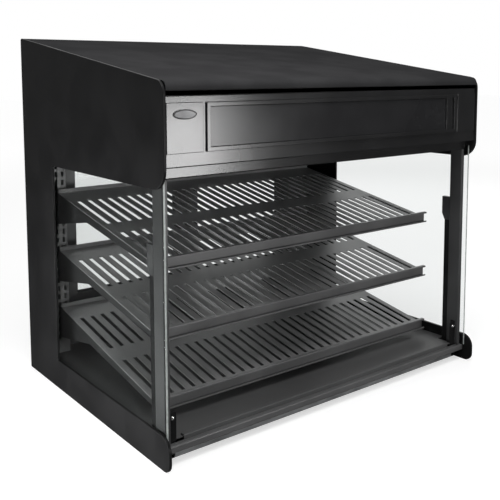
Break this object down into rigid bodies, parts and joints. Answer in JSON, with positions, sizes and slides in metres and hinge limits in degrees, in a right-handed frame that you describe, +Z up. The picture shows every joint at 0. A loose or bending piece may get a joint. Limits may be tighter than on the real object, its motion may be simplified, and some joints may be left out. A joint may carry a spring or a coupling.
{
  "type": "heated display case",
  "caption": "Counter-top heated merchandiser with an open front, sloped slotted shelves, glass sides, a deep sloping hood and hinged glass rear doors.",
  "frame": {"origin": "bottom centre of the footprint, on the counter", "axes": "+X to the right seen from the open front, +Y towards the rear doors, +Z up"},
  "size_m": [0.914, 0.671, 0.828],
  "materials": {
    "case_paint": "semi-gloss black powder coat",
    "hood_paint": "smooth satin black paint",
    "roof_paint": "matt black powder coat",
    "sign_black": "smooth gloss black",
    "badge_metal": "satin, blank",
    "shelf_paint": "gloss black enamel",
    "rail_paint": "satin black",
    "standard_steel": "grey hammered paint",
    "clear_glass": "clear tempered glass",
    "inner_steel": "galvanised",
    "reflector": "bright",
    "heater_sheath": "heat-tinted sheath",
    "lamp_glass": "frosted",
    "socket_plastic": "white",
    "control_black": "fine texture",
    "rocker_plastic": "gloss",
    "lens_amber": "translucent amber",
    "foot_rubber": "matt",
    "insulation_wool": "mineral wool",
    "mat_silicone": "silicone heating mat",
    "bright_screw": "bright",
    "hinge_steel": "plated",
    "handle_alu": "black anodised"
  },
  "bodies": {
    "case": {"badge_plate": "badge_metal", "base_deck": "shelf_paint", "base_heater_mat": "mat_silicone", "base_insulation": "insulation_wool", "base_side_rails": "case_paint", "base_underpan": "inner_steel", "control_pan": "case_paint", "cord_inlet": "control_black", "door_catches": "control_black", "door_jambs": "case_paint", "end_panel_left": "case_paint", "end_panel_right": "case_paint", "foot_plates": "case_paint", "foot_screws": "bright_screw", "front_fascia": "hood_paint", "front_post_left": "case_paint", "front_post_right": "case_paint", "front_sill": "case_paint", "heater_rods": "heater_sheath", "hinge_pivots": "hinge_steel", "hood_ceiling": "inner_steel", "hood_rear_panel": "case_paint", "hood_reflectors": "reflector", "lamp_sockets": "socket_plastic", "lamp_tube": "lamp_glass", "pilot_lamp": "lens_amber", "post_clips": "control_black", "post_sleeves": "case_paint", "rear_riser": "case_paint", "rod_brackets": "inner_steel", "roof_panel": "roof_paint", "rubber_feet": "foot_rubber", "shelf_brackets_bottom": "shelf_paint", "shelf_brackets_middle": "shelf_paint", "shelf_brackets_top": "shelf_paint", "shelf_standard_left": "standard_steel", "shelf_standard_right": "standard_steel", "side_glass_left": "clear_glass", "side_glass_right": "clear_glass", "sign_frame": "hood_paint", "sign_panel": "sign_black", "switch_bodies": "control_black", "terminal_block": "socket_plastic", "thermostat_body": "control_black", "valance": "hood_paint"},
    "door_left": {"door_frame_left": "case_paint", "door_glass_left": "clear_glass", "door_handle_left": "handle_alu"},
    "door_right": {"door_frame_right": "case_paint", "door_glass_right": "clear_glass", "door_handle_right": "handle_alu"},
    "shelf_top": {"price_rail_top": "rail_paint", "shelf_deck_top": "shelf_paint"},
    "shelf_middle": {"price_rail_middle": "rail_paint", "shelf_deck_middle": "shelf_paint"},
    "shelf_bottom": {"price_rail_bottom": "rail_paint", "shelf_deck_bottom": "shelf_paint"},
    "rocker_light": {"rocker_light": "rocker_plastic"},
    "rocker_heat": {"rocker_heat": "rocker_plastic"},
    "thermostat_knob": {"thermostat_knob": "control_black"}
  },
  "joints": [
    {"name": "door_left_hinge", "type": "hinge", "parent": "case", "child": "door_left", "pos_m": [-0.3655, 0.319, 0.3395], "axis": [0, 0, 1], "range_deg": [0, 110]},
    {"name": "door_right_hinge", "type": "hinge", "parent": "case", "child": "door_right", "pos_m": [0.3655, 0.319, 0.3395], "axis": [0, 0, -1], "range_deg": [0, 110]},
    {"name": "shelf_top_draw_out", "type": "slide", "parent": "case", "child": "shelf_top", "axis": [0, -1, 0], "range_m": [0, 0.6]},
    {"name": "shelf_middle_draw_out", "type": "slide", "parent": "case", "child": "shelf_middle", "axis": [0, -1, 0], "range_m": [0, 0.6]},
    {"name": "shelf_bottom_draw_out", "type": "slide", "parent": "case", "child": "shelf_bottom", "axis": [0, -1, 0], "range_m": [0, 0.6]},
    {"name": "rocker_light_tilt", "type": "hinge", "parent": "case", "child": "rocker_light", "pos_m": [0.273, 0.307, 0.657], "axis": [1, 0, 0], "range_deg": [0, 16]},
    {"name": "rocker_heat_tilt", "type": "hinge", "parent": "case", "child": "rocker_heat", "pos_m": [0.227, 0.307, 0.657], "axis": [1, 0, 0], "range_deg": [0, 16]},
    {"name": "thermostat_turn", "type": "hinge", "parent": "case", "child": "thermostat_knob", "pos_m": [0.161, 0.308, 0.657], "axis": [0, -1, 0], "range_deg": [0, 270]}
  ]
}
